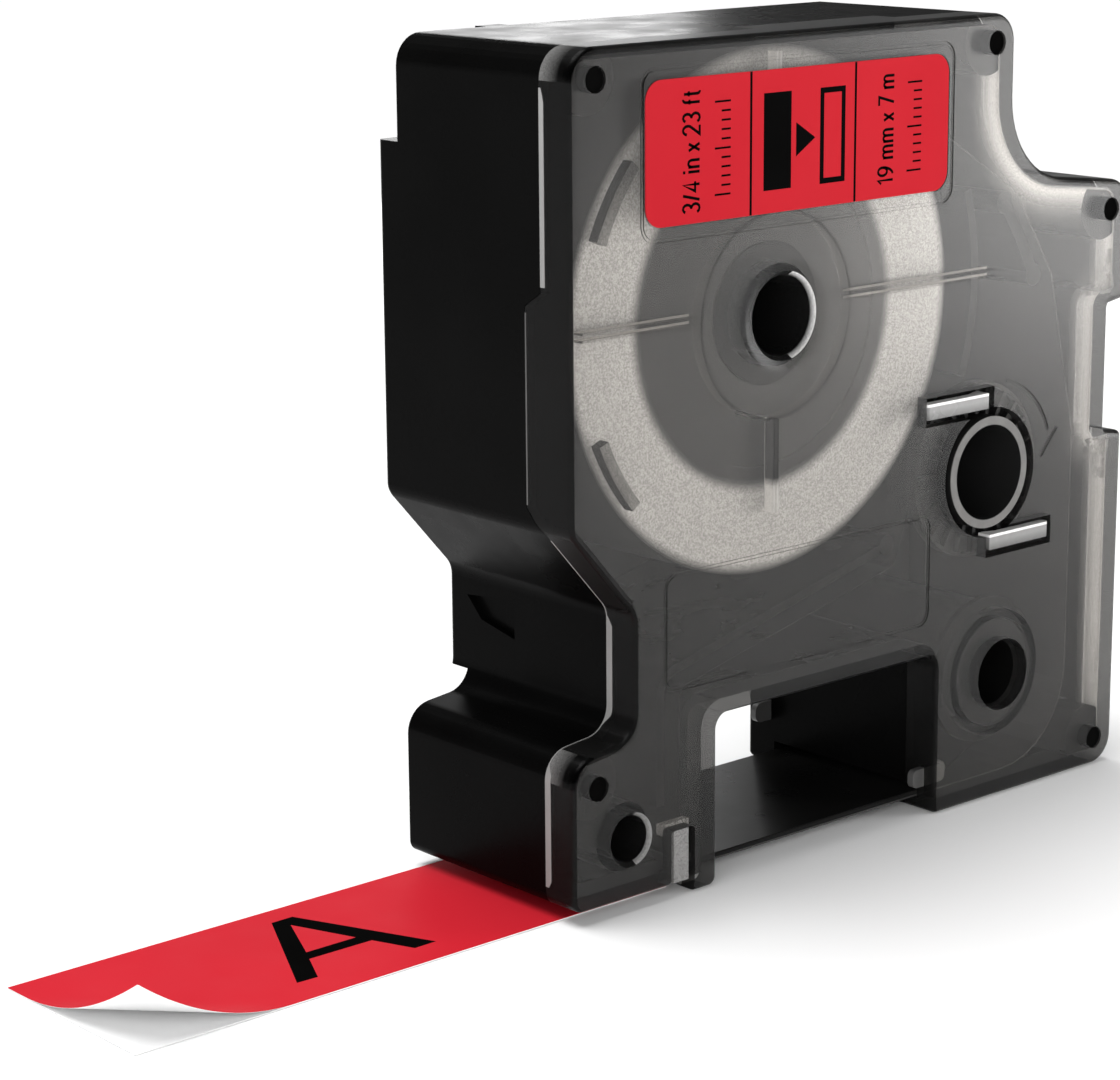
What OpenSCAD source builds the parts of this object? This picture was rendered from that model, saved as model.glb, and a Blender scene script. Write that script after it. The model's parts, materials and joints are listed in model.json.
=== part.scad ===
// Label tape cassette: a smoky front cover welded to a black rear case, a roll of laminated
// label tape, a thermal ribbon with its supply and take-up spools, and a printed tape tail.
// x runs from the left side to the right, y from the front face to the back, z up.
// Every plan outline is drawn in x and z, measured from the left side and the floor.

/* [Body] */
// Width of the body, left side to right side
body_w = 73.0; // [73:0.1:74]
// Height of the body
body_h = 76.4; // [76.2:0.1:77]
// Depth of the body, front face to back face
body_d = 25.9; // [25.6:0.1:27]
// Thickness of the side walls and the back wall
wall = 1.1; // [1.0:0.05:1.15]
// Thickness of the front cover's plate
plate_t = 1.15; // [1.0:0.05:1.2]
// Depth of the cover's rim, front face to seam
seam_y = 3.95; // [3.6:0.05:4.2]
// Radius of the outer corners
corner_r = 2.8; // [2.4:0.1:3.0]

/* [Print window] */
// Left side of the window that the print head enters
window_x0 = 17.2; // [17:0.1:17.4]
// Right side of the window
window_x1 = 46.4; // [46.2:0.1:46.6]
// Top of the window
window_z = 16.0; // [15.6:0.1:16.2]

/* [Label tape] */
// Width of the label tape
tape_w = 19; // [18:0.5:19]
// Thickness of the film layer
film_t = 0.08; // [0.06:0.01:0.1]
// Thickness of the backing liner
liner_t = 0.08; // [0.06:0.01:0.1]
// Outer radius of the wound roll
roll_r = 23.8; // [23:0.1:23.9]
// Radius of the core that the tape is wound on
core_r = 15.2; // [15:0.1:17]
// Length of tape that hangs out to the left of the body
tail_out = 44.2; // [30:0.1:60]
// Angle that the peeled corner of the film stands up at
peel_angle = 28.5; // [15:0.5:40]

/* [Spools and bores] */
// Bore that the machine's roll peg enters
hub_r = 3.64; // [3.5:0.01:3.7]
// Bore that the machine's take-up shaft enters
drive_r = 4.59; // [4.5:0.01:4.6]
// Bore of the ribbon supply spool
supply_r = 3.3; // [3.2:0.01:3.35]
// Bore that the machine's locating pin enters
locator_r = 2.16; // [2.0:0.01:2.2]
// Radial running clearance of every bearing
running_gap = 0.08; // [0.05:0.01:0.1]

/* [Ribbon] */
// Width of the ink ribbon
ribbon_w = 18.6; // [18:0.1:18.6]
// Thickness of the ribbon as drawn
ribbon_t = 0.05; // [0.04:0.01:0.06]
// Outer radius of the ribbon on the supply spool
supply_wound_r = 6.6; // [6.2:0.1:7]
// Outer radius of the ribbon on the take-up spool
takeup_wound_r = 6.2; // [6:0.1:7]

/* [Hidden] */
round_fn = 96;
arc_steps = 8;

// Centres of the bores, in x and z
hub = [25.4, 51.3];
takeup = [53.2, 32.9];
supply = [55.8, 12.3];
locator = [6.57, 6.77];
// Centres of the five joining pins
pins = [[corner_r, body_h - 2.7], [52.8, body_h - 2.7], [body_w - 2.85, 56.6],
    [body_w - 2.85, 2.8], [2.75, 12.3]];
pin_r = 1.12;
boss_r = 3.1;

// Depths
tape_y0 = 2.7;
tape_y1 = tape_y0 + tape_w;
ribbon_y0 = 3.3;
ribbon_y1 = ribbon_y0 + ribbon_w;
back_in = body_d - wall;
top_back = body_d - 2.9;
top_step_z = 67;
leg_back = body_d - 2.7;
leg_top_z = 17.5;
slot_y0 = tape_y0 - 0.3;
slot_y1 = tape_y1 + 0.3;
cheek_y0 = 1.6;
cheek_t = 0.7;
part_gap = 0.05;
slip_t = 0.1;
slip_gap = 0.03;

// Heights
leg_z = 1.2;
web_z = 1.3;
ribbon_z = 1.55;

// Body outline, anticlockwise from the leg's lower left corner: x, z, corner radius
notch_x = 7.3;
inset_x = body_w - 2.7;
outline = [[0, leg_z, 1.2], [13.4, leg_z, 0.4], [14.4, 0, 0.4], [window_x0, 0, 0.9],
    [window_x0, window_z, 1.4], [window_x1, window_z, 1.4], [window_x1, 0, 0.6],
    [body_w, 0, corner_r], [body_w, 34.2, 0.5], [inset_x, 34.6, 0.4],
    [inset_x, 47.2, 0.4], [body_w, 47.6, 0.5], [body_w, 59.2, 2.6],
    [55.5, 61.2, 8.2], [55.5, body_h, 2.65], [0, body_h, corner_r],
    [0, 35.2, 2.0], [notch_x, 27.0, 2.4], [notch_x, 15.9, 2.6], [0, 15.1, 2.7]];

// Spool tubes
takeup_tube_r = 5.45;
supply_tube_r = 5.35;
supply_hole_r = 3.58;
takeup_hole_r = 6.35;
spline_y = 14;
spline_root_r = drive_r + 0.3;

// Take-up pawls, point symmetric about the take-up axis
pawl_offset = 7.0;
pawl_h = 1.5;
pawl_slot = 0.65;
pawl_x = [takeup.x - 9.15, takeup.x + 0.35];
pawl_tip_x = takeup.x - 0.3;
pawl_t = plate_t - 0.2;
pawl_root_x = pawl_x[0] + 0.12 + pawl_t / 2;
flange_y = 2.5;
tooth_y = 1.85;
tooth_count = 24;

// Size label and the recess it is stuck in
label_x = [8.4, 46.2];
label_z = [60.7, 73.2];
label_r = 1.8;
label_t = 0.08;
recess_gap = 0.1;

// Tape tail and the line that its peeled corner lifts from
tail_inner = 13.3;
peel_y = 16.54;
peel_x = 15.64;
fold_far = [-tail_out, tape_y0 + peel_y];
fold_near = [-tail_out + peel_x, tape_y0];
fold_len = norm([peel_x, peel_y]);

// The body stands centred on the origin, its tape tail included
origin_x = (body_w - tail_out) / 2;
origin_y = body_d / 2;

function unit(v) = v / norm(v);
function flat(p) = [p.x, p.y];
function wrap(a) = a > 180 ? a - 360 : a < -180 ? a + 360 : a;
function polar(c, r, a) = c + r * [cos(a), sin(a)];
function wider(span, d) = [span[0] - d, span[1] + d];

// Centre of the arc that rounds corner b between its neighbours a and c
function corner_middle(a, b, c) =
    let (
        u = unit(flat(a) - flat(b)),
        v = unit(flat(c) - flat(b))
    )
    flat(b) + b.z / sin(acos(u * v) / 2) * unit(u + v);

// Points of that arc
function corner(a, b, c) =
    let (
        u = unit(flat(a) - flat(b)),
        v = unit(flat(c) - flat(b)),
        half = acos(u * v) / 2,
        r = b.z,
        middle = corner_middle(a, b, c),
        first = flat(b) + r / tan(half) * u - middle,
        last = flat(b) + r / tan(half) * v - middle,
        from = atan2(first.y, first.x),
        sweep = wrap(atan2(last.y, last.x) - from)
    )
    r <= 0.01
        ? [flat(b)]
        : [for (i = [0 : arc_steps]) polar(middle, r, from + sweep * i / arc_steps)];

function rounded(p) =
    let (n = len(p))
    [for (i = [0 : n - 1]) each corner(p[(i + n - 1) % n], p[i], p[(i + 1) % n])];

function left_of(a, b) = let (d = unit(flat(b) - flat(a))) [-d.y, d.x];

// The outline moved inwards by d, with each corner radius kept concentric
function inset(p, d) =
    let (n = len(p))
    [for (i = [0 : n - 1])
        let (
            m = left_of(p[(i + n - 1) % n], p[i]),
            k = left_of(p[i], p[(i + 1) % n]),
            turn = m.x * k.y - m.y * k.x,
            shift = d / (1 + m * k) * (m + k)
        )
        [p[i].x + shift.x, p[i].y + shift.y, max(0, p[i].z - d * sign(turn))]];

// A thin open strip that follows a path with rounded corners
function path(p) =
    let (n = len(p))
    concat([flat(p[0])],
        [for (i = [1 : n - 2]) each corner(p[i - 1], p[i], p[i + 1])],
        [flat(p[n - 1])]);
function beside(q, d) =
    let (n = len(q))
    [for (i = [0 : n - 1]) q[i] + d * left_of(q[max(i - 1, 0)], q[min(i + 1, n - 1)])];
function backwards(q) = [for (i = [len(q) - 1 : -1 : 0]) q[i]];

// Where a line from p touches a circle, on the side given by s
function touch(p, c, r, s) =
    let (v = p - c)
    polar(c, r, atan2(v.y, v.x) + s * acos(r / norm(v)));

module to_origin() {
    translate([-origin_x, -origin_y, 0]) children();
}

// Extrudes an x-z outline from depth y0 to depth y1
module slab(y0, y1) {
    translate([0, y1, 0]) rotate([90, 0, 0]) linear_extrude(y1 - y0) children();
}

module disc(c, r, y0, y1) {
    translate([c.x, y1, c.y]) rotate([90, 0, 0]) cylinder(r = r, h = y1 - y0, $fn = round_fn);
}

module cone(c, r0, r1, y0, y1) {
    translate([c.x, y0, c.y]) rotate([-90, 0, 0])
        cylinder(r1 = r0, r2 = r1, h = y1 - y0, $fn = round_fn);
}

module ring(c, r_in, r_out, y0, y1) {
    difference() {
        disc(c, r_out, y0, y1);
        disc(c, r_in, y0 - 1, y1 + 1);
    }
}

module block(x, y, z) {
    translate([x[0], y[0], z[0]]) cube([x[1] - x[0], y[1] - y[0], z[1] - z[0]]);
}

module strip(p, t) {
    polygon(concat(beside(path(p), t / 2), backwards(beside(path(p), -t / 2))));
}

// Part of a ring between two angles
module arc_wall(c, r, t, a0, a1, y0, y1) {
    steps = 3 * arc_steps;
    arc = [for (i = [0 : steps]) polar(c, r, a0 + (a1 - a0) * i / steps)];
    slab(y0, y1) polygon(concat(beside(arc, t / 2), backwards(beside(arc, -t / 2))));
}

// A rounded rectangle in x and z
module panel(x, z, r) {
    polygon(rounded([[x[0], z[0], r], [x[1], z[0], r], [x[1], z[1], r], [x[0], z[1], r]]));
}

module panel_line(x, z, r, t) {
    difference() {
        panel(x, z, r);
        panel([x[0] + t, x[1] - t], [z[0] + t, z[1] - t], r - t);
    }
}

// Outer solid of the closed cassette, with its shallower top and leg
module body_solid() {
    difference() {
        slab(0, body_d) polygon(rounded(outline));
        block([-1, body_w + 1], [top_back, body_d + 1], [top_step_z, body_h + 1]);
        block([-1, window_x0 + 0.01], [leg_back, body_d + 1], [-1, leg_top_z]);
    }
}

module body_cavity() {
    difference() {
        slab(plate_t, back_in) polygon(rounded(inset(outline, wall)));
        block([-1, body_w + 1], [top_back - wall, body_d], [top_step_z - wall, body_h]);
        block([-1, window_x0], [leg_back - wall, body_d], [-1, leg_top_z + wall]);
    }
}

// The space in front of the seam, which steps back along the left side and the top
module cover_zone(g) {
    block([-1, body_w + 1], [-1, seam_y - g], [-1, body_h + 1]);
    block([25, 43], [-1, seam_y + 2.6 - g], [body_h - wall, body_h + 1]);
    translate([-1, 0, 0]) rotate([90, 0, 90]) linear_extrude(1 + wall)
        polygon([[seam_y - g - 1, 34.8 + g], [seam_y - g, 34.8 + g], [seam_y + 2.05 - g, 36.9 + g],
            [seam_y + 2.05 - g, 54.4 - g], [seam_y - g, 55.7 - g], [seam_y - g - 1, 55.7 - g]]);
}

// Gap that lets the tape and the ribbon through the leg, the window and the right wall
module web_gap() {
    block([13.3, window_x0 + 0.6], [slot_y0, slot_y1], [-1, 2.7]);
    block([window_x0, window_x1 + 2.2], [slot_y0, slot_y1], [wall, 2.4]);
}

// Path of the tape inside the body, from the roll to the exit
tape_turn = [59.2, 59.0, 1.3];
tape_side = [64.6, 50.6, 3];
tape_leaves = touch(flat(tape_turn), hub, roll_r + 0.35, 1);
tape_path = [[tape_leaves.x, tape_leaves.y, 0], tape_turn, tape_side,
    [68.4, 34.4, 3], [68.4, web_z, 9.2], [17.6, web_z, 2], [15.6, 0.6, 2], [14.0, 0.45, 0]];

// Arm that carries the tape round its first two turns
post_r = 1.1;
arm_top = corner_middle(tape_leaves, tape_turn, tape_side);
arm_end = [62.8, 50.6];

// Path of the ribbon, from the supply spool past the window to the take-up spool
ribbon_leaves = touch([48.6, ribbon_z], supply, supply_wound_r + 0.3, 1);
ribbon_turn = [43.6, 24.8];
ribbon_arrives = touch(ribbon_turn, takeup, takeup_wound_r + 0.3, -1);
ribbon_path = [[ribbon_leaves.x, ribbon_leaves.y, 0], [48.6, ribbon_z, 1.2],
    [15.4, ribbon_z, 1.0], [15.4, 18.2, 1.4], [ribbon_turn.x, ribbon_turn.y, 1.4],
    [ribbon_arrives.x, ribbon_arrives.y, 0]];

// Walls and posts that stand on the case's back wall
module case_guides() {
    front = 3.4;
    track_x = 69.6;
    track_z = web_z - 0.9;
    arc_wall(hub, 28.8, 1.0, -19, 17, front, back_in);
    slab(front, back_in)
        strip([[arm_top.x, arm_top.y, 0], [60.6, 54.6, 1], [arm_end.x, arm_end.y, 0]], 1.4);
    for (c = [arm_top, arm_end])
        disc(c, post_r, front, back_in);
    slab(seam_y + part_gap, back_in)
        strip([[track_x, 32.6, 0], [track_x, track_z, 10.3], [57, track_z, 0]], 0.8);
    slab(front, leg_back - 0.5) strip([[13.2, 7.5, 0], [13.2, 19.6, 2.4], [41.6, 26.6, 0]], 0.9);
    disc([42.6, 26.9], 1.0, front, back_in);
    disc([66.9, 25.3], 1.2, ribbon_y1 + 0.9, back_in);
}

// Joining pins on round bosses that reach forward to the cover's plate
module case_pins() {
    for (c = pins) {
        back = c.y > top_step_z ? top_back : c.x < window_x0 ? leg_back : body_d;
        disc(c, boss_r, seam_y + 0.2, back - 0.2);
        intersection() {
            disc(c, boss_r, plate_t + part_gap, seam_y + 0.4);
            slab(plate_t, seam_y + 1) polygon(rounded(inset(outline, wall + part_gap)));
        }
        disc(c, pin_r, 0.25, back - 0.2);
    }
}

// Features of the left notch that the machine's latch meets
module notch_rib() {
    block([notch_x - 0.5, notch_x + 0.5], [13.6, 16.5], [16.6, 26.4]);
}

module notch_hook() {
    translate([notch_x - 0.1, 0, 0]) rotate([90, 0, 90]) linear_extrude(0.8)
        polygon([[16.5, 25.3], [23.2, 24.6], [21.2, 22.6], [16.5, 21.6]]);
}

module window_rails() {
    block([window_x0 - 0.5, window_x1 + 0.5], [slot_y1, leg_back], [0.9, 2.0]);
    block([43.2, window_x1 + 0.5], [slot_y1, leg_back], [0.9, 4.4]);
    for (z = [2.6, 6.0])
        block([window_x1 - 0.45, window_x1 + 0.4], [seam_y + part_gap, slot_y1], [z, z + 0.4]);
}

// Cut-outs in the window's right wall for the two cheeks of the ribbon guide
module guide_slots() {
    x = [window_x1 - 0.1, window_x1 + wall + 0.1];
    block(x, [cheek_y0 - part_gap, cheek_y0 + cheek_t + part_gap], [2.4, 4.4]);
    block(x, [leg_back - cheek_t - part_gap, leg_back + part_gap], [4.5, 6.7]);
}

// Shallow recesses moulded in the back: one round each bore, and a blank field
module back_recesses() {
    deep = 0.45;
    disc(hub, 6.4, body_d - deep, body_d + 1);
    disc(takeup, 7.4, body_d - deep, body_d + 1);
    disc(supply, 7.2, body_d - deep, body_d + 1);
    slab(body_d - deep, body_d + 1) panel([20.5, 43.5], [19.5, 29.5], 1.5);
}

module rear_case() {
    color("#141312") to_origin() difference() {
        union() {
            difference() {
                body_solid();
                body_cavity();
                cover_zone(-part_gap);
                notch_hook();
            }
            intersection() {
                union() {
                    case_guides();
                    case_pins();
                    ring(locator, locator_r, locator_r + 1, seam_y + 2.2, leg_back - 0.2);
                    ring(hub, hub_r + 1.1, hub_r + 2.2, 23.2, back_in + 0.2);
                }
                body_solid();
            }
            notch_rib();
            window_rails();
            block([11.2, 13.9], [top_back - 0.2, body_d - 0.3], [72.4, body_h - 0.1]);
        }
        web_gap();
        disc(locator, locator_r, -1, body_d + 1);
        disc(hub, hub_r + 0.06, 20, body_d + 1);
        disc(takeup, takeup_tube_r + running_gap, 20, body_d + 1);
        disc(supply, supply_tube_r + running_gap, 20, body_d + 1);
        guide_slots();
        back_recesses();
    }
}

// Thin double ribs in a cross about the hub, and two short guides beside the roll
module cover_inside_ribs() {
    depth = 2.25;
    rib_t = 0.2;
    ring(hub, 9.2, 9.5, plate_t - 0.1, depth);
    for (z = [51.55, 52.2]) {
        block([2.2, 15.6], [plate_t - 0.1, depth], [z, z + rib_t]);
        block([35.0, 54.6], [plate_t - 0.1, depth], [z, z + rib_t]);
    }
    for (x = [25.05, 25.5]) {
        block([x, x + rib_t], [plate_t - 0.1, depth], [33.2, 41.9]);
        block([x, x + rib_t], [plate_t - 0.1, depth], [60.7, 74.6]);
    }
    for (a = [[139, 158], [203, 221]])
        arc_wall(hub, 22.6, 1.1, a[0], a[1], plate_t - 0.1, depth);
}

module pawl_window() {
    half = pawl_h / 2 + pawl_slot;
    middle = takeup.y + pawl_offset;
    block(pawl_x, [-1, plate_t + 1], [middle - half, middle + half]);
}

module point_symmetric(c) {
    children();
    translate([2 * c.x, 0, 2 * c.y]) rotate([0, 180, 0]) children();
}

// Shallow lines moulded in the cover's front: two blank frames and the turning arrow
module front_lines() {
    cut = 0.12;
    slab(-1, cut) {
        panel_line([7.9, 47.0], [59.4, 74.3], 1.6, 0.3);
        panel_line([10.6, 44.9], [19.3, 30.1], 1.4, 0.3);
    }
    slab(-1, cut) strip([[62.9, 36.0, 0], [61.7, 34.7, 0], [60.6, 33.4, 0]], 0.3);
    arc_wall(takeup, 8.9, 0.3, 20, 76, -1, cut);
}

module front_cover() {
    color([0.46, 0.45, 0.43, 0.6]) to_origin() difference() {
        union() {
            intersection() {
                difference() {
                    body_solid();
                    body_cavity();
                }
                cover_zone(0);
            }
            cover_inside_ribs();
            disc(hub, hub_r + 1, plate_t - 0.1, 24.6);
            disc(locator, locator_r + 1, plate_t - 0.1, seam_y + 2);
            ring(supply, supply_tube_r + running_gap, supply_tube_r + 0.98, plate_t - 0.1, 2.15);
            block([31, window_x1 + 0.5], [1.7, 2.3], [0.35, 1.1]);
        }
        for (c = pins)
            disc(c, pin_r + 0.02, -1, seam_y);
        disc(hub, hub_r, -1, body_d);
        cone(hub, hub_r + 1.6, hub_r + 0.4, -0.01, 0.3);
        cone(hub, hub_r + 0.42, hub_r, 0.28, 0.75);
        disc(takeup, takeup_hole_r, -1, plate_t + 1);
        disc(supply, supply_hole_r, -1, plate_t + 1);
        disc(locator, locator_r, -1, body_d);
        cone(locator, locator_r + 0.35, locator_r, -0.01, 0.4);
        point_symmetric(takeup) pawl_window();
        slab(-1, plate_t + 0.6) panel([11.4, 14.3], [-1, 6.4], 0.4);
        slab(-1, recess_gap)
            panel(wider(label_x, recess_gap), wider(label_z, recess_gap), label_r + recess_gap);
        front_lines();
        web_gap();
        guide_slots();
    }
}

module size_label() {
    color("#e8303c") to_origin()
        slab(recess_gap - label_t, recess_gap) panel(label_x, label_z, label_r);
}

// A sprung tongue with a round root, whose tip rides the take-up spool's face teeth
module pawl() {
    z0 = takeup.y + pawl_offset - pawl_h / 2;
    tip_y = tooth_y - 0.3;
    block([pawl_root_x, pawl_tip_x], [0.1, 0.1 + pawl_t], [z0, z0 + pawl_h]);
    translate([pawl_root_x, 0.1 + pawl_t / 2, z0])
        cylinder(r = pawl_t / 2, h = pawl_h, $fn = round_fn);
    translate([0, 0, z0]) linear_extrude(pawl_h)
        polygon([[pawl_tip_x - 2.1, pawl_t], [pawl_tip_x, pawl_t], [pawl_tip_x, tip_y],
            [pawl_tip_x - 0.6, tip_y]]);
}

module upper_pawl() {
    color([0.62, 0.60, 0.57, 0.7]) to_origin() pawl();
}

module lower_pawl() {
    color([0.62, 0.60, 0.57, 0.7]) to_origin()
        translate([2 * takeup.x, 0, 2 * takeup.y]) rotate([0, 180, 0]) pawl();
}

module tape_core() {
    bore = hub_r + 1 + running_gap;
    sleeve = bore + 1.6;
    rim = 1.2;
    color("#4b4947") to_origin() {
        ring(hub, bore, sleeve, tape_y0, tape_y1);
        ring(hub, core_r - rim, core_r, tape_y0, tape_y1);
        ring(hub, sleeve - 0.1, core_r - rim + 0.1, tape_y0 + 0.3, tape_y0 + 1.4);
        around(hub, 6)
            block([sleeve - 0.1, core_r - rim + 0.1], [tape_y0 + 0.5, tape_y1 - 2], [-0.5, 0.5]);
    }
}

module tape_roll() {
    color("#d3d1ce") to_origin() ring(hub, core_r, roll_r, tape_y0, tape_y1);
}

// Clear film washers that keep the roll's sticky edges off the cover and the case
module slip_disc(y) {
    color([0.9, 0.9, 0.9, 0.3]) to_origin() ring(hub, hub_r + 2.9, roll_r - 0.3, y, y + slip_t);
}

module front_slip_disc() {
    slip_disc(tape_y0 - slip_gap - slip_t);
}

module rear_slip_disc() {
    slip_disc(tape_y1 + slip_gap);
}

module tape_web() {
    color("#c9c6c2") to_origin() slab(tape_y0, tape_y1) strip(tape_path, film_t + liner_t);
}

// The printed tail. Its near outer corner is peeled: the film stands up off the liner.
module tail_liner() {
    color("#f4f3f1") to_origin()
        block([-tail_out, tail_inner], [tape_y0, tape_y1], [0, liner_t]);
}

module tail_film() {
    run = fold_near - fold_far;
    flap_tip = peel_y / fold_len * [peel_y, -peel_x];
    color("#e8303c") to_origin() {
        translate([0, 0, liner_t]) linear_extrude(film_t)
            polygon([fold_far, fold_near, [tail_inner, tape_y0], [tail_inner, tape_y1],
                [-tail_out, tape_y1]]);
        translate([fold_far.x, fold_far.y, liner_t]) rotate([0, 0, atan2(run.y, run.x)])
            rotate([-peel_angle, 0, 0]) linear_extrude(film_t)
                polygon([[0, 0], [fold_len, 0], flap_tip]);
    }
}

// Clear tongue beside the leg's foot that holds the tape down as it leaves
module exit_tongue() {
    color([0.85, 0.84, 0.82, 0.6]) to_origin() {
        block([12.0, 13.8], [0.3, plate_t + 0.1], [leg_z + 0.1, 6.2]);
        block([11.3, 14.6], [plate_t, 1.9], [5.7, 6.7]);
    }
}

// A tube with a flange behind the ribbon
module spool(c, r_in, r_out, front) {
    difference() {
        union() {
            disc(c, r_out, front, body_d - 0.1);
            disc(c, r_out + 2.3, ribbon_y1 + 0.3, ribbon_y1 + 0.9);
        }
        disc(c, r_in, -1, body_d + 1);
    }
}

module supply_spool() {
    flange_r = 7.3;
    color("#8a8783") to_origin() {
        spool(supply, supply_r, supply_tube_r, plate_t + 0.35);
        ring(supply, supply_tube_r - 0.1, flange_r, flange_y, ribbon_y0 - 0.2);
    }
}

module supply_ribbon() {
    color("#23211f") to_origin() ring(supply, supply_tube_r, supply_wound_r, ribbon_y0, ribbon_y1);
}

// Turns its one child round an axis, count times, evenly spaced
module around(c, count) {
    for (i = [0 : count - 1])
        translate([c.x, 0, c.y]) rotate([0, i * 360 / count, 0]) children();
}

module takeup_spool() {
    flange_r = 8.55;
    tooth_half = 0.22;
    spline_half = 0.45;
    color("#96928d") to_origin() {
        difference() {
            spool(takeup, drive_r, takeup_tube_r, 0.1);
            disc(takeup, spline_root_r, spline_y, body_d + 1);
        }
        ring(takeup, takeup_tube_r - 0.1, flange_r, flange_y, ribbon_y0 - 0.2);
        ring(takeup, flange_r - 0.4, flange_r, tooth_y, flange_y + 0.1);
        around(takeup, tooth_count)
            block([takeup_tube_r - 0.1, flange_r - 0.2], [tooth_y, flange_y + 0.1],
                [-tooth_half, tooth_half]);
        around(takeup, 6)
            block([drive_r - 0.9, spline_root_r + 0.1], [spline_y + 0.4, body_d - 3],
                [-spline_half, spline_half]);
    }
}

module takeup_ribbon() {
    color("#23211f") to_origin() ring(takeup, takeup_tube_r, takeup_wound_r, ribbon_y0, ribbon_y1);
}

module ribbon_web() {
    color("#2b2927") to_origin() slab(ribbon_y0, ribbon_y1) strip(ribbon_path, ribbon_t);
}

// Pale guide bar at the window's right side, with a cheek at each end
module ribbon_guide() {
    color([0.80, 0.78, 0.74]) to_origin() {
        disc([48.9, 3.6], 0.9, cheek_y0 + 0.3, leg_back - 0.4);
        slab(cheek_y0, cheek_y0 + cheek_t) panel([44.9, 49.4], [2.5, 4.3], 0.6);
        slab(leg_back - cheek_t, leg_back) {
            panel([44.2, 49.4], [4.6, 6.6], 0.8);
            panel([47.6, 49.4], [2.9, 6.6], 0.6);
        }
    }
}

// Bent leaf that drags on the supply spool, so that the ribbon stays tight
module supply_drag_spring() {
    color("#b9bcc0") to_origin() slab(ribbon_y1 + 1.1, ribbon_y1 + 2.6)
        strip([[66.2, 23.95, 0], [64.6, 22.0, 1.4], [62.4, 17.0, 3], [61.2, 11.0, 2],
            [62.6, 8.2, 0]], 0.35);
}

rear_case();
front_cover();
size_label();
upper_pawl();
lower_pawl();
tape_core();
tape_roll();
front_slip_disc();
rear_slip_disc();
tape_web();
tail_film();
tail_liner();
exit_tongue();
supply_spool();
supply_ribbon();
takeup_spool();
takeup_ribbon();
ribbon_web();
ribbon_guide();
supply_drag_spring();
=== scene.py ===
import json
import math

import bmesh
import bpy
from mathutils import Matrix, Vector


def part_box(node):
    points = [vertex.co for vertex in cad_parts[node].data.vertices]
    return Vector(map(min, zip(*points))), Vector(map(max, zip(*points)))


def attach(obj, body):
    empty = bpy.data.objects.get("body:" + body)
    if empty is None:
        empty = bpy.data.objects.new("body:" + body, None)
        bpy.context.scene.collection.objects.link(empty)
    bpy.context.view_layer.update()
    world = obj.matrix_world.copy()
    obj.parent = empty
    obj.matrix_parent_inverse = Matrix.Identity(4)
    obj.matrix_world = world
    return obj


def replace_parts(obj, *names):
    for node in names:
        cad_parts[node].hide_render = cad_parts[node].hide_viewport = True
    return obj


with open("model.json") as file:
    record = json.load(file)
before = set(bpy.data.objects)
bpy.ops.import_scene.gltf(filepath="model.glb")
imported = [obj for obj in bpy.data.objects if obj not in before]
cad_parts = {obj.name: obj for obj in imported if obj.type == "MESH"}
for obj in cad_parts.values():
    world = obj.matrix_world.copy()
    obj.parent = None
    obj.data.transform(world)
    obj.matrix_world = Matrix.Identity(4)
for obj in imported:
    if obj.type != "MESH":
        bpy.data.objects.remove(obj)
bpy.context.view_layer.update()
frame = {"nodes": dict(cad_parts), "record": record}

MM = 0.001
scene = bpy.context.scene
nodes = frame["nodes"]
record = frame["record"]
mounts = {m["name"]: m for m in record["mounts"]}

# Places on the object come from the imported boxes: x from the body's left side, y from the
# front face and z from the floor, in millimetres, as the part's own drawing has them.
case_lo, case_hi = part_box("rear_case")
LEFT = case_lo.x
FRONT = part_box("front_cover")[0].y
BODY_W = (case_hi.x - LEFT) / MM
BODY_D = (case_hi.y - FRONT) / MM
BODY_H = case_hi.z / MM


def at(x, y, z):
    return Vector((LEFT + x * MM, FRONT + y * MM, z * MM))


def local(point):
    return (point.x - LEFT) / MM, (point.y - FRONT) / MM, point.z / MM


def mount_xz(name):
    x, _, z = local(Vector(mounts[name]["pos_m"]))
    return x, z


HUB = mount_xz("hub_bore")
TAKEUP = mount_xz("drive_bore")
LOCATOR = mount_xz("locator_bore")


# ---------------------------------------------------------------- outline of the body

# The print window's left, right and upper edges
WINDOW = (17.2, 46.4, 16.0)
# Depths where the cover's plate ends, where its ribs end and where it meets the case
PLATE_BACK = 1.2
RIB_BACK = 2.3
SEAM_Y = 3.95
# Inner and outer radius of the wound tape
CORE_R = 15.2
ROLL_R = 23.8
# Straight pieces that each rounded corner is made of, and the least radius, which looks sharp
ARC_STEPS = 12
SHARP_R = 0.0001
# The soft front and back edges of the body: their radius and the straight pieces of their curve
EDGE_ROUND = 0.7
EDGE_STEPS = 5
# The body's corners seen from the front: x, z and the corner's radius
OUTLINE = [(0, 1.2, 1.2), (13.4, 1.2, 0.4), (14.4, 0, 0.4), (WINDOW[0], 0, 0.9),
           (WINDOW[0], WINDOW[2], 1.4), (WINDOW[1], WINDOW[2], 1.4), (WINDOW[1], 0, 0.6),
           (BODY_W, 0, 2.8), (BODY_W, 34.2, 0.5), (BODY_W - 2.7, 34.6, 0.4),
           (BODY_W - 2.7, 47.2, 0.4), (BODY_W, 47.6, 0.5), (BODY_W, 59.2, 2.6),
           (55.5, 61.2, 8.2), (55.5, BODY_H, 2.65), (0, BODY_H, 2.8),
           (0, 35.2, 2.0), (7.3, 27.0, 2.4), (7.3, 15.9, 2.6), (0, 15.1, 2.7)]


def flat(p):
    return Vector((p[0], p[1]))


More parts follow.
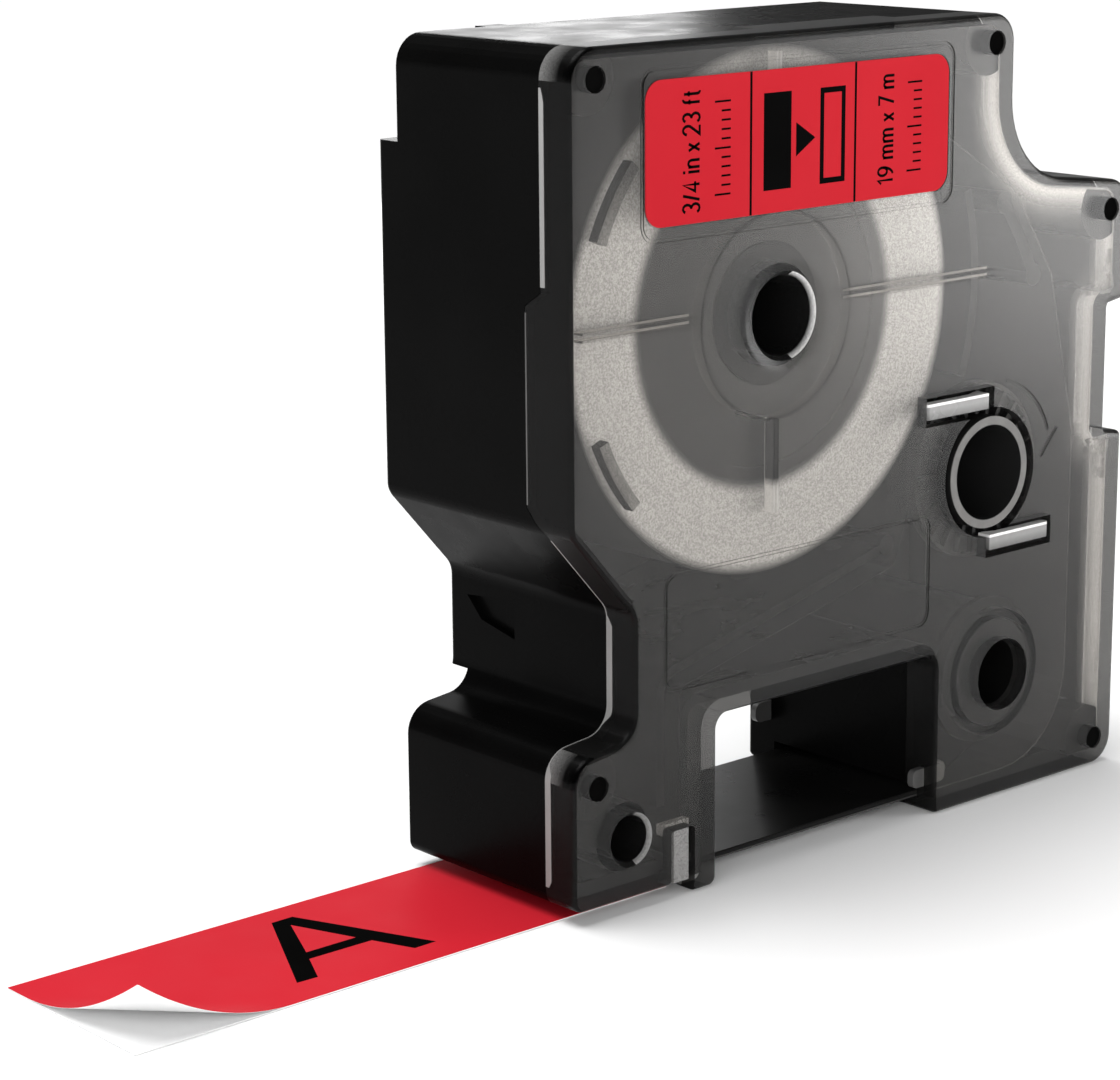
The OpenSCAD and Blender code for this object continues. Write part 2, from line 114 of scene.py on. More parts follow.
def corner_arc(a, b, c):
    """Points of the arc that rounds corner b between its neighbours a and c."""
    u = (flat(a) - flat(b)).normalized()
    v = (flat(c) - flat(b)).normalized()
    half = math.acos(max(-1, min(1, u.dot(v)))) / 2
    r = max(b[2], SHARP_R)
    middle = flat(b) + (u + v).normalized() * (r / math.sin(half))
    first = flat(b) + u * (r / math.tan(half)) - middle
    last = flat(b) + v * (r / math.tan(half)) - middle
    start = math.atan2(first.y, first.x)
    sweep = (math.atan2(last.y, last.x) - start + math.pi) % (2 * math.pi) - math.pi
    turns = [start + sweep * i / ARC_STEPS for i in range(ARC_STEPS + 1)]
    return [middle + r * Vector((math.cos(turn), math.sin(turn))) for turn in turns]


def rounded(points):
    """The outline with an arc at each of its corners."""
    n = len(points)
    out = []
    for i in range(n):
        out += corner_arc(points[i - 1], points[i], points[(i + 1) % n])
    return out


def inset(points, d):
    """The outline moved inwards by d, with each corner's arc kept concentric."""
    n = len(points)
    out = []
    for i in range(n):
        a, b, c = flat(points[i - 1]), flat(points[i]), flat(points[(i + 1) % n])
        e, f = (b - a).normalized(), (c - b).normalized()
        m, k = Vector((-e.y, e.x)), Vector((-f.y, f.x))
        turn = m.x * k.y - m.y * k.x
        shift = (m + k) * (d / (1 + m.dot(k)))
        radius = points[i][2] - d * (1 if turn > 0 else -1)
        out.append((b.x + shift.x, b.y + shift.y, max(0, radius)))
    return out


# ---------------------------------------------------------------- mesh helpers

# Points closer than this, in metres, are one point
MERGE = 0.000002
FINE_MERGE = 0.0000005


def new_object(name, mesh):
    obj = bpy.data.objects.new(name, mesh)
    scene.collection.objects.link(obj)
    return obj


def mesh_from(name, verts, faces):
    mesh = bpy.data.meshes.new(name)
    mesh.from_pydata([tuple(v) for v in verts], [], faces)
    mesh.validate()
    return new_object(name, mesh)


def clean(obj, merge=MERGE, angle=0.2):
    """Joins doubled points and melts flat neighbours into one face."""
    bm = bmesh.new()
    bm.from_mesh(obj.data)
    bmesh.ops.remove_doubles(bm, verts=bm.verts, dist=merge)
    if angle:
        bmesh.ops.dissolve_limit(bm, angle_limit=math.radians(angle), verts=bm.verts, edges=bm.edges)
    bmesh.ops.recalc_face_normals(bm, faces=bm.faces)
    bm.to_mesh(obj.data)
    bm.free()
    return obj


def smooth(obj, angle=32, weighted=True):
    """Soft shading up to an angle, weighted so that flat faces stay flat."""
    mesh = obj.data
    bm = bmesh.new()
    bm.from_mesh(mesh)
    for face in bm.faces:
        face.smooth = True
    for edge in bm.edges:
        edge.smooth = edge.is_manifold and edge.calc_face_angle(0) < math.radians(angle)
    bm.to_mesh(mesh)
    bm.free()
    if weighted:
        modifier = obj.modifiers.new("weighted", "WEIGHTED_NORMAL")
        modifier.keep_sharp = True
        modifier.weight = 100


def apply_modifiers(obj):
    depsgraph = bpy.context.evaluated_depsgraph_get()
    mesh = bpy.data.meshes.new_from_object(obj.evaluated_get(depsgraph))
    old = obj.data
    obj.modifiers.clear()
    obj.data = mesh
    bpy.data.meshes.remove(old)


def boolean(obj, other, operation):
    modifier = obj.modifiers.new("boolean", "BOOLEAN")
    modifier.operation = operation
    modifier.solver = "EXACT"
    modifier.object = other
    apply_modifiers(obj)
    bpy.data.objects.remove(other)


def copy_of(node_name, name):
    """A new mesh with a CAD node's shape, to finish in mesh code."""
    mesh = nodes[node_name].data.copy()
    mesh.materials.clear()
    obj = new_object(name, mesh)
    return clean(obj, angle=0)


def loft(name, rings):
    """A closed solid through rings of points, each with the same number of them."""
    n = len(rings[0])
    verts = [v for ring in rings for v in ring]
    faces = [(k * n + i, k * n + (i + 1) % n, (k + 1) * n + (i + 1) % n, (k + 1) * n + i)
             for k in range(len(rings) - 1) for i in range(n)]
    faces.append(tuple(range(n - 1, -1, -1)))
    faces.append(tuple(range((len(rings) - 1) * n, len(rings) * n)))
    obj = mesh_from(name, verts, faces)
    return clean(obj, merge=MERGE / 2, angle=0)


def edge_profile():
    """Inset and depth of the points of a quarter round, from the face to the side."""
    turns = [math.pi / 2 * i / EDGE_STEPS for i in range(EDGE_STEPS + 1)]
    return [(EDGE_ROUND * (1 - math.sin(turn)), EDGE_ROUND * (1 - math.cos(turn))) for turn in turns]


def rounded_body():
    """The body's outline drawn back from the front, with soft front and back edges."""
    rings = []
    for d, y in edge_profile():
        rings.append([at(p.x, y, p.y) for p in rounded(inset(OUTLINE, d))])
    for d, y in reversed(edge_profile()):
        rings.append([at(p.x, BODY_D - y, p.y) for p in rounded(inset(OUTLINE, d))])
    return loft("rounded_body", rings)


# ---------------------------------------------------------------- materials

# Noise scales, from slow drifts in colour and gloss to the finest grain
SLOW_DRIFT = 45
HAZE_DRIFT = 60
GLOW_DRIFT = 200
GLOSS_DRIFT = 220
SKIN_WAVE = 700
FLOOR_GRAIN = 800
SPECKLE = 900
PAWL_GRAIN = 1500
WOUND_RINGS = 2600
MOULD_GRAIN = 2600
FILM_GRAIN = 3000
LAYER_GRAIN = 5200
HAZE_GRAIN = 8000
# How deep the grain goes, in metres
MOULD_DEPTH = 0.000004
FILM_DEPTH = 0.000002
SKIN_DEPTH = 0.000006
RIDGE_DEPTH = 0.00001
# The slightly warm grey that the plastics share
GREY = Vector((1.0, 0.988, 0.972))


def warm(value):
    return tuple(GREY * value)


def new_material(name):
    mat = bpy.data.materials.new(name)
    mat.use_nodes = True
    nt = mat.node_tree
    nt.nodes.clear()
    out = nt.nodes.new("ShaderNodeOutputMaterial")
    shader = nt.nodes.new("ShaderNodeBsdfPrincipled")
    nt.links.new(shader.outputs[0], out.inputs["Surface"])
    return mat, nt, shader, out


def noise(nt, scale, detail):
    coords = nt.nodes.new("ShaderNodeTexCoord")
    tex = nt.nodes.new("ShaderNodeTexNoise")
    tex.inputs["Scale"].default_value = scale
    tex.inputs["Detail"].default_value = detail
    nt.links.new(coords.outputs["Object"], tex.inputs["Vector"])
    return tex.outputs["Fac"]


def spread(nt, fac, low, high, start=0.3, stop=0.7):
    """From low to high as fac goes from start to stop."""
    node = nt.nodes.new("ShaderNodeMapRange")
    node.inputs["From Min"].default_value = start
    node.inputs["From Max"].default_value = stop
    node.inputs["To Min"].default_value = low
    node.inputs["To Max"].default_value = high
    nt.links.new(fac, node.inputs["Value"])
    return node.outputs["Result"]


def math_node(nt, operation, *values):
    """One step of arithmetic on numbers or other nodes' outputs."""
    node = nt.nodes.new("ShaderNodeMath")
    node.operation = operation
    for socket, value in zip(node.inputs, values):
        if isinstance(value, (int, float)):
            socket.default_value = value
        else:
            nt.links.new(value, socket)
    return node.outputs[0]


def blend_colours(nt, fac, a, b):
    """From a to b as fac goes from 0 to 1; each is a colour or another node's output."""
    mix = nt.nodes.new("ShaderNodeMix")
    mix.data_type = "RGBA"
    for key, value in (("A", a), ("B", b)):
        if isinstance(value, bpy.types.NodeSocket):
            nt.links.new(value, mix.inputs[key])
        else:
            mix.inputs[key].default_value = (*value, 1)
    nt.links.new(fac, mix.inputs["Factor"])
    return mix.outputs["Result"]


def bump(nt, shader, height, strength, distance):
    node = nt.nodes.new("ShaderNodeBump")
    node.inputs["Strength"].default_value = strength
    node.inputs["Distance"].default_value = distance
    nt.links.new(height, node.inputs["Height"])
    nt.links.new(node.outputs["Normal"], shader.inputs["Normal"])
    return node.outputs["Normal"]


def plastic(name, dark, light, rough, grain=MOULD_GRAIN, grain_depth=MOULD_DEPTH, specular=0.5):
    """Moulded plastic: slow colour drift, fine mould grain and a slightly uneven gloss."""
    mat, nt, shader, _ = new_material(name)
    drift = spread(nt, noise(nt, SLOW_DRIFT, 3), 0, 1)
    nt.links.new(blend_colours(nt, drift, dark, light), shader.inputs["Base Color"])
    gloss = spread(nt, noise(nt, GLOSS_DRIFT, 3), rough - 0.04, rough + 0.05)
    nt.links.new(gloss, shader.inputs["Roughness"])
    bump(nt, shader, noise(nt, grain, 2), 0.35, grain_depth)
    shader.inputs["Specular IOR Level"].default_value = specular
    return mat


def place_along(nt, axis):
    """Where a point lies along X, Y or Z, in metres."""
    place = nt.nodes.new("ShaderNodeSeparateXYZ")
    nt.links.new(nt.nodes.new("ShaderNodeTexCoord").outputs["Object"], place.inputs[0])
    return place.outputs[axis]


def depth_fade(nt, near_y, far_y):
    """1 down to 0 between two depths behind the cover's front."""
    return spread(nt, place_along(nt, "Y"), 1, 0, at(0, near_y, 0).y, at(0, far_y, 0).y)


def smoky(name, tint, dark, light, haze, rough, gloss_level=0.035, grain=0.3, fade=None):
    """Translucent plastic: part clear, part a grainy haze in the body, under a satin skin. haze and
    gloss_level are how much of each there is, and grain how far the haze varies. fade is the pair of
    depths between which the haze clears."""
    mat, nt, body, out = new_material(name)
    clear = nt.nodes.new("ShaderNodeBsdfTransparent")
    gloss = nt.nodes.new("ShaderNodeBsdfGlossy")
    gloss.inputs["Roughness"].default_value = rough
    facing = nt.nodes.new("ShaderNodeLayerWeight")
    facing.inputs["Blend"].default_value = 0.5
    edge = math_node(nt, "POWER", facing.outputs["Facing"], 5)
    amount = math_node(nt, "MULTIPLY_ADD", edge, 0.5, gloss_level)
    inner = nt.nodes.new("ShaderNodeMixShader")
    skin = nt.nodes.new("ShaderNodeMixShader")
    fine = noise(nt, HAZE_GRAIN, 1)
    drift = noise(nt, HAZE_DRIFT, 4)
    denser = tuple(c * (1 - 0.2 * grain) for c in tint)
    nt.links.new(blend_colours(nt, spread(nt, fine, 0, 1), tint, denser), clear.inputs["Color"])
    nt.links.new(blend_colours(nt, spread(nt, drift, 0, 1), dark, light), body.inputs["Base Color"])
    thick = spread(nt, fine, haze * (1 - grain), haze * (1 + grain))
    if fade:
        thick = math_node(nt, "MULTIPLY", thick, depth_fade(nt, *fade))
    nt.links.new(thick, inner.inputs["Fac"])
    body.inputs["Roughness"].default_value = 0.6
    body.inputs["Specular IOR Level"].default_value = 0.0
    normal = bump(nt, body, noise(nt, SKIN_WAVE, 2), 0.15, SKIN_DEPTH)
    nt.links.new(normal, gloss.inputs["Normal"])
    nt.links.new(clear.outputs[0], inner.inputs[1])
    nt.links.new(body.outputs[0], inner.inputs[2])
    nt.links.new(amount, skin.inputs["Fac"])
    nt.links.new(inner.outputs[0], skin.inputs[1])
    nt.links.new(gloss.outputs[0], skin.inputs[2])
    nt.links.new(skin.outputs[0], out.inputs["Surface"])
    return mat


def distance_from(nt, centre):
    """Distance in metres from an axis that runs front to back."""
    coords = nt.nodes.new("ShaderNodeTexCoord")
    shift = nt.nodes.new("ShaderNodeVectorMath")
    shift.operation = "SUBTRACT"
    shift.inputs[1].default_value = at(centre[0], 0, centre[1])
    flatten = nt.nodes.new("ShaderNodeVectorMath")
    flatten.operation = "MULTIPLY"
    flatten.inputs[1].default_value = (1, 0, 1)
    length = nt.nodes.new("ShaderNodeVectorMath")
    length.operation = "LENGTH"
    nt.links.new(coords.outputs["Object"], shift.inputs[0])
    nt.links.new(shift.outputs[0], flatten.inputs[0])
    nt.links.new(flatten.outputs[0], length.inputs[0])
    return length.outputs["Value"]


def wound_edge(name, light, dark, margin):
    """The end of a wound roll: fine rings about the hub, fading to margin at both rims."""
    mat, nt, shader, _ = new_material(name)
    radius = distance_from(nt, HUB)
    layers = nt.nodes.new("ShaderNodeTexNoise")
    layers.noise_dimensions = "1D"
    layers.inputs["Scale"].default_value = WOUND_RINGS
    layers.inputs["Detail"].default_value = 3
    nt.links.new(radius, layers.inputs["W"])
    rings = math_node(nt, "MULTIPLY", layers.outputs["Fac"], 0.15)
    specks = math_node(nt, "MULTIPLY", noise(nt, LAYER_GRAIN, 2), 0.85)
    grain = math_node(nt, "ADD", rings, specks)
    body = blend_colours(nt, spread(nt, grain, 0, 1, 0.4, 0.6), light, dark)
    inner = spread(nt, radius, 0, 1, (CORE_R + 0.2) * MM, (CORE_R + 1.2) * MM)
    outer = spread(nt, radius, 1, 0, (ROLL_R - 1.0) * MM, (ROLL_R - 0.1) * MM)
    nt.links.new(blend_colours(nt, math_node(nt, "MULTIPLY", inner, outer), margin, body),
                 shader.inputs["Base Color"])
    shader.inputs["Roughness"].default_value = 0.6
    shader.inputs["Specular IOR Level"].default_value = 0.1
    bump(nt, shader, layers.outputs["Fac"], 0.2, RIDGE_DEPTH)
    return mat


# The front ring of the take-up tube: inner and outer edges of its band of painted highlight, each as a
# short ramp
RING_INNER = (4.62 * MM, 4.66 * MM)
RING_OUTER = (5.5 * MM, 5.6 * MM)


def spool_plastic(name, rim, dark):
    """Dark spool plastic with a painted highlight: a lighter grey band on the take-up tube's front end.
    """
    mat, nt, shader, _ = new_material(name)
    radius = distance_from(nt, TAKEUP)
    band = math_node(nt, "MULTIPLY", spread(nt, radius, 0, 1, *RING_INNER),
                     spread(nt, radius, 1, 0, *RING_OUTER))
    front = local(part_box("takeup_spool")[0])[1]
    band = math_node(nt, "MULTIPLY", band, depth_fade(nt, front + 0.06, front + 0.12))
    grain = spread(nt, noise(nt, SPECKLE, 3), 0.8, 1.0)
    tone = blend_colours(nt, math_node(nt, "MULTIPLY", band, grain), dark, rim)
    nt.links.new(tone, shader.inputs["Base Color"])
    shader.inputs["Roughness"].default_value = 0.4
    shader.inputs["Specular IOR Level"].default_value = 0.1
    bump(nt, shader, noise(nt, MOULD_GRAIN, 2), 0.3, MOULD_DEPTH)
    return mat


def rib_painted_see_through(name):
    """The sides of the thin ribs, with painted see-through colour: the core's dark or the tape's pale, by
    distance from the hub.
    """
    mat, nt, shader, _ = new_material(name)
    edge = spread(nt, distance_from(nt, HUB), 0, 1, (CORE_R - 0.3) * MM, (CORE_R + 0.5) * MM)
    tone = blend_colours(nt, edge, warm(0.03), warm(0.8))
    nt.links.new(blend_colours(nt, spread(nt, noise(nt, SPECKLE, 2), 0, 0.15), tone, warm(0.02)),
                 shader.inputs["Base Color"])
    shader.inputs["Roughness"].default_value = 0.5
    shader.inputs["Specular IOR Level"].default_value = 0.05
    return mat


def pawl_plastic(name, node_name):
    """A grey pawl with a painted highlight along its upper edge and painted shade towards its lower edge.
    """
    mat, nt, shader, _ = new_material(name)
    low_z, high_z = (corner.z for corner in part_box(node_name))
    height = place_along(nt, "Z")
    painted_highlight = spread(nt, height, 0, 1, high_z - 0.3 * MM, high_z - 0.22 * MM)
    lower = spread(nt, height, 0, 1, low_z, low_z + 0.8 * MM)
    body = blend_colours(nt, lower, warm(0.1), warm(0.26))
    grain = spread(nt, noise(nt, PAWL_GRAIN, 3), 0, 0.3)
    nt.links.new(blend_colours(nt, grain, blend_colours(nt, painted_highlight, body, warm(0.95)), warm(0.2)),
                 shader.inputs["Base Color"])
    nt.links.new(spread(nt, noise(nt, GLOSS_DRIFT, 3), 0.2, 0.3), shader.inputs["Roughness"])
    shader.inputs["Specular IOR Level"].default_value = 0.3
    return mat


# What each material slot of the record looks like, apart from the pawls' slot, which is in OWN
MATERIALS = {
    "case_black": plastic("case_black", warm(0.0015), warm(0.003), 0.28, specular=0.02),
    "cover_smoke": smoky("cover_smoke", warm(0.95), warm(0.36), warm(0.44), haze=0.03, rough=0.28,
                         gloss_level=0.017, grain=0.25),
    "label_red": plastic("label_red", (0.55, 0.017, 0.029), (0.59, 0.02, 0.033), 0.55,
                         FILM_GRAIN, FILM_DEPTH, specular=0.01),
    "core_grey": plastic("core_grey", warm(0.006), warm(0.01), 0.45, specular=0.05),
    "tape_edge": wound_edge("tape_edge", (0.72, 0.712, 0.7), (0.48, 0.474, 0.465), (0.04, 0.04, 0.04)),
    "clear_film": smoky("clear_film", (0.99, 0.99, 0.99), warm(0.7), warm(0.8), haze=0.01, rough=0.15,
                        gloss_level=0.01),
    "liner_white": plastic("liner_white", (0.84, 0.84, 0.84), (0.88, 0.88, 0.88), 0.5, specular=0.05),
    "clear_plastic": smoky("clear_plastic", warm(0.8), warm(0.5), warm(0.65), haze=0.35, rough=0.12),
    "spool_grey": spool_plastic("spool_grey", (0.17, 0.166, 0.16), (0.012, 0.012, 0.012)),
    "ribbon_black": plastic("ribbon_black", warm(0.006), warm(0.01), 0.3, specular=0.1),
    "guide_pale": plastic("guide_pale", warm(0.06), warm(0.1), 0.3, specular=0.3),
    "spring_steel": plastic("spring_steel", (0.2, 0.2, 0.2), (0.3, 0.3, 0.3), 0.3),
}

# The cover's walls, rims and ribs, in the order that their faces number them after the plate's own
COVER_FINISHES = {
    "wall": smoky("cover_smoke_side", warm(0.2), warm(0.012), warm(0.02), haze=0.4, rough=0.3,
                  gloss_level=0.008),
    # painted light: the right rim's inner faces in a pale haze, strongest behind the plate, clearing
    # towards the seam
    "right_rim_painted_light": smoky("cover_smoke_rim_painted_light", warm(0.8), warm(0.85), warm(0.92), haze=0.95, rough=0.3,
                       fade=(1.25, 3.7)),
    # painted light: the left corners in a paler grey haze, strongest at the seam, clearing towards the
    # front
    "left_corner_painted_light": smoky("cover_smoke_corner_painted_light", warm(0.2), warm(0.14), warm(0.2), haze=0.8, rough=0.3,
                         gloss_level=0.008, fade=(3.7, 1.6)),
    # painted highlight: the lit side of the hub bore's front edge, a pale haze that clears with depth
    "hub_edge_painted_highlight": smoky("cover_smoke_bore", warm(0.15), warm(0.7), warm(0.8), haze=0.9, rough=0.3,
                      gloss_level=0.01, fade=(0.3, 0.75)),
    "guide": smoky("cover_smoke_guide", warm(0.62), warm(0.03), warm(0.06), haze=0.12, rough=0.3,
                   gloss_level=0.008),
    "pin_hole": smoky("cover_smoke_pin", warm(0.3), warm(0.01), warm(0.02), haze=0.5, rough=0.3,
                      gloss_level=0.0),
    # painted see-through light: the ribs' sides take the colour of the dark core or the pale tape behind
    # them
    "rib_side_painted_see_through": rib_painted_see_through("rib_side_painted_see_through"),
    # painted highlight: a dimmer one on the lit side of the locator bore's front edge
    "locator_edge_painted_highlight": smoky("cover_smoke_bore_dim", warm(0.15), warm(0.25), warm(0.35), haze=0.9, rough=0.3,
                          gloss_level=0.01, fade=(0.1, 0.7)),
}

# Nodes with a finish of their own
OWN = {
    "tape_web": plastic("web_edge", warm(0.03), warm(0.05), 0.5, specular=0.1),
    "size_label": plastic("label_front", (0.46, 0.015, 0.024), (0.49, 0.018, 0.027), 0.55,
                          FILM_GRAIN, FILM_DEPTH, specular=0.01),
    "supply_spool": plastic("spool_dark", warm(0.003), warm(0.005), 0.5, specular=0.02),
    "upper_pawl": pawl_plastic("upper_pawl_grey", "upper_pawl"),
    "lower_pawl": pawl_plastic("lower_pawl_grey", "lower_pawl"),
}

# Finishes of the small pieces that are added here
# painted highlights on the seam lips, a brighter one and a dim one
LIP_PAINTED_HIGHLIGHT = plastic("seam_lip", warm(0.22), warm(0.36), 0.4, MOULD_GRAIN, RIDGE_DEPTH, specular=0.2)
LIP_PAINTED_DIM_HIGHLIGHT = plastic("seam_lip_dim", warm(0.07), warm(0.11), 0.4, MOULD_GRAIN, RIDGE_DEPTH, specular=0.2)
# painted light on the ribs' tips, as a pale opaque finish
RIB_TIP_PAINTED_LIGHT = plastic("rib_tip_painted_light", warm(0.42), warm(0.55), 0.5, specular=0.05)
INK = plastic("ink_black", warm(0.002), warm(0.004), 0.5, specular=0)


def dress(obj, slot_name):
    obj.data.materials.clear()
    obj.data.materials.append(MATERIALS[slot_name])


def slot_of(node_name):
    return next(s["material_slot"] for s in record["subparts"] if s["node"] == node_name)


for node_name in nodes:
    for material_slot in nodes[node_name].material_slots:
        material_slot.link = "OBJECT"
        material_slot.material = OWN.get(node_name) or MATERIALS[slot_of(node_name)]


# ---------------------------------------------------------------- shells

def near(x, z, centre, r):
    return math.hypot(x - centre[0], z - centre[1]) < r


# Middles of the five joining pins, and how near to one a face belongs to its hole
PINS = ((2.8, BODY_H - 2.7), (52.8, BODY_H - 2.7), (BODY_W - 2.85, 56.6),
        (BODY_W - 2.85, 2.8), (2.75, 12.3))
PIN_R = 1.2
# The bores with a soft front edge: middle, how near to it and how far back a face belongs to that
# edge, and the finish that paints a highlight on its lit side; its other side has the wall's finish
PAINTED_HIGHLIGHT_EDGES = ((HUB, 4.1, 0.8, "hub_edge_painted_highlight"), (LOCATOR, 2.6, 0.45, "locator_edge_painted_highlight"))
# The curved guides beside the roll: inner and outer radius, and the x that they stay left of
GUIDE_R = (21.8, 23.4)
GUIDE_RIGHT = 10
# The double ribs: heights of the level pair, x of the upright pair and where that starts, and the
# inner and outer radius of the collar round the hub
LEVEL_RIBS = (51.3, 52.6)
UPRIGHT_RIBS = (24.8, 25.9)
UPRIGHT_FROM = 33
COLLAR_R = (8.9, 9.7)
# x of the gap between the upright ribs, and how far from it their sides have painted see-through colour
RIB_GAP_X = 25.4
RIB_GAP_REACH = 0.5
# Where the right rim's painted light starts: lowest height, right wall's x, and the shoulder's x and
# height
RIM_LOWEST = 3
RIGHT_WALL = 68
SHOULDER = (50, 58)
# The left corners with painted light: the x that they stay left of, and their heights
CORNER_RIGHT = 3
TOP_CORNER = 72.5
FOOT_CORNER = (12.8, 15.2)


def cover_finish(face):
    """Which of the cover's finishes a face has."""
    x, y, z = local(face.center)
    n = face.normal
    for centre, r, deep, painted_highlight in PAINTED_HIGHLIGHT_EDGES:
        if y < deep and abs(n.y) < 0.985 and near(x, z, centre, r):
            return painted_highlight if n.x < -0.15 else "wall"
    in_guide = near(x, z, HUB, GUIDE_R[1]) and not near(x, z, HUB, GUIDE_R[0]) and x < GUIDE_RIGHT
    if in_guide and PLATE_BACK < y < RIB_BACK + 0.1:
        return "guide"
    if any(near(x, z, pin, PIN_R) for pin in PINS):
        return "pin_hole"
    if abs(n.y) > 0.75:
        return "plate"
    in_level = LEVEL_RIBS[0] < z < LEVEL_RIBS[1]
    in_upright = UPRIGHT_RIBS[0] < x < UPRIGHT_RIBS[1] and z > UPRIGHT_FROM
    in_ribs = in_level or in_upright or near(x, z, HUB, COLLAR_R[1])
    if in_ribs and PLATE_BACK - 0.1 < y < RIB_BACK and not near(x, z, HUB, COLLAR_R[0]):
        return "rib_side_painted_see_through" if abs(n.x) > 0.9 and abs(x - RIB_GAP_X) < RIB_GAP_REACH else "plate"
    on_right = x > RIGHT_WALL or (x > SHOULDER[0] and z > SHOULDER[1])
    if on_right and n.x < -0.25 and z > RIM_LOWEST and PLATE_BACK - 0.05 < y < SEAM_Y - 0.05:
        return "right_rim_painted_light"
    if x < CORNER_RIGHT and y < SEAM_Y and (z > TOP_CORNER or FOOT_CORNER[0] < z < FOOT_CORNER[1]):
        return "left_corner_painted_light"
    return "wall"


# The pins' front ends lie no further back than this
PIN_FRONT = 0.4


def make_shell(node_name, name):
    """The CAD shell with its sharp outer edges rolled over."""
    shell = copy_of(node_name, name)
    boolean(shell, rounded_body(), "INTERSECT")
    clean(shell)
    smooth(shell)
    dress(shell, slot_of(node_name))
    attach(shell, "case")
    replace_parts(shell, node_name)
    return shell


def make_cover():
    """A translucent shell looks denser through its walls, which are seen along their length, so
    these have finishes of their own."""
    cover = make_shell("front_cover", "front_cover_shell")
    order = ["plate", *COVER_FINISHES]
    for finish in COVER_FINISHES.values():
        cover.data.materials.append(finish)
    for face in cover.data.polygons:
        face.material_index = order.index(cover_finish(face))


def make_case():
    """The case, with its pins' front ends in a darker black."""
    case = make_shell("rear_case", "rear_case_shell")
    case.data.materials.append(INK)
    for face in case.data.polygons:
        if local(face.center)[1] < PIN_FRONT and face.normal.y < -0.9:
            face.material_index = 1


make_cover()
make_case()


def outline_run(spacing, wanted):
    """Close points along the body's outline that are wanted, each with its outward direction."""
    corners = rounded(OUTLINE)
    points = []
    for i, p in enumerate(corners):
        q = corners[(i + 1) % len(corners)]
        steps = max(1, math.ceil((q - p).length / spacing))
        points += [p.lerp(q, k / steps) for k in range(steps)]
    run = []
    for i, p in enumerate(points):
        way = points[(i + 1) % len(points)] - points[i - 1]
        if wanted(p) and way.length > 0:
            run.append((p, Vector((way.y, -way.x)).normalized()))
    start = max(range(len(run)), key=lambda i: (run[i - 1][0] - run[i][0]).length)
    return run[start:] + run[:start]


# How far a lip stands out of the side, how far it reaches into it and how far it passes the seam
LIP_PROUD = 0.03
LIP_SUNK = 0.1
LIP_OVERLAP = 0.02


def strip_on_side(name, z_low, z_high, x_high, seam, wide, mat):
    """A thin raised line that ends at the seam on the left side, in a painted highlight. wide gives its
    width at a height.
    """
    run = outline_run(0.6, lambda p: z_low <= p.y <= z_high and p.x <= x_high)
    n = len(run)
    verts = []
    for p, out in run:
        o, i = p + out * LIP_PROUD, p - out * LIP_SUNK
        y0, y1 = seam - wide(o.y), seam + LIP_OVERLAP
        verts += [at(o.x, y0, o.y), at(o.x, y1, o.y), at(i.x, y1, i.y), at(i.x, y0, i.y)]
    faces = [(0, 1, 2, 3), tuple(4 * n - 4 + k for k in (3, 2, 1, 0))]
    for i in range(n - 1):
        for k in range(4):
            a, b = 4 * i + k, 4 * i + (k + 1) % 4
            faces.append((a, b, b + 4, a + 4))
    lip = clean(mesh_from(name, verts, faces), merge=FINE_MERGE, angle=0)
    smooth(lip, 40)
    lip.data.materials.append(mat)
    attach(lip, "case")


def ramp(z, start, stop):
    return max(0.0, min(1.0, (z - start) / (stop - start)))


def upper_lip_width(z):
    return 0.15 + 0.4 * ramp(z, 73.2, 72.0)


def lower_lip_width(z):
    """Wide on the notch's wall and on the leg, and a hairline between them."""
    notch = ramp(z, 16.6, 17.4) * ramp(z, 26.4, 25.6)
    leg = ramp(z, 14.2, 13.4) * ramp(z, 2.6, 3.4)
    return 0.09 + 0.61 * max(notch, leg)


strip_on_side("seam_lip_upper", z_low=55.9, z_high=73.2, x_high=1.5, seam=SEAM_Y,
              wide=upper_lip_width, mat=LIP_PAINTED_HIGHLIGHT)
strip_on_side("seam_lip_middle", z_low=37.0, z_high=54.3, x_high=1.5, seam=SEAM_Y + 2.05,
              wide=lambda z: 0.14, mat=LIP_PAINTED_DIM_HIGHLIGHT)
strip_on_side("seam_lip_lower", z_low=2.6, z_high=34.4, x_high=9.0, seam=SEAM_Y,
              wide=lower_lip_width, mat=LIP_PAINTED_HIGHLIGHT)


# The ribs' tips: width, front and back, lower edges and ends of the level ones, ends of the upright one
TIP_W = 0.2
TIP_Y = (RIB_BACK - 0.04, RIB_BACK)
LEVEL_TIPS_Z = (51.55, 52.2)
LEVEL_TIPS_X = ((2.2, 15.6), (35.0, 54.6))
UPRIGHT_TIP_X = (25.05, 25.25)
UPRIGHT_TIP_Z = ((33.2, 41.9), (60.7, 74.6))


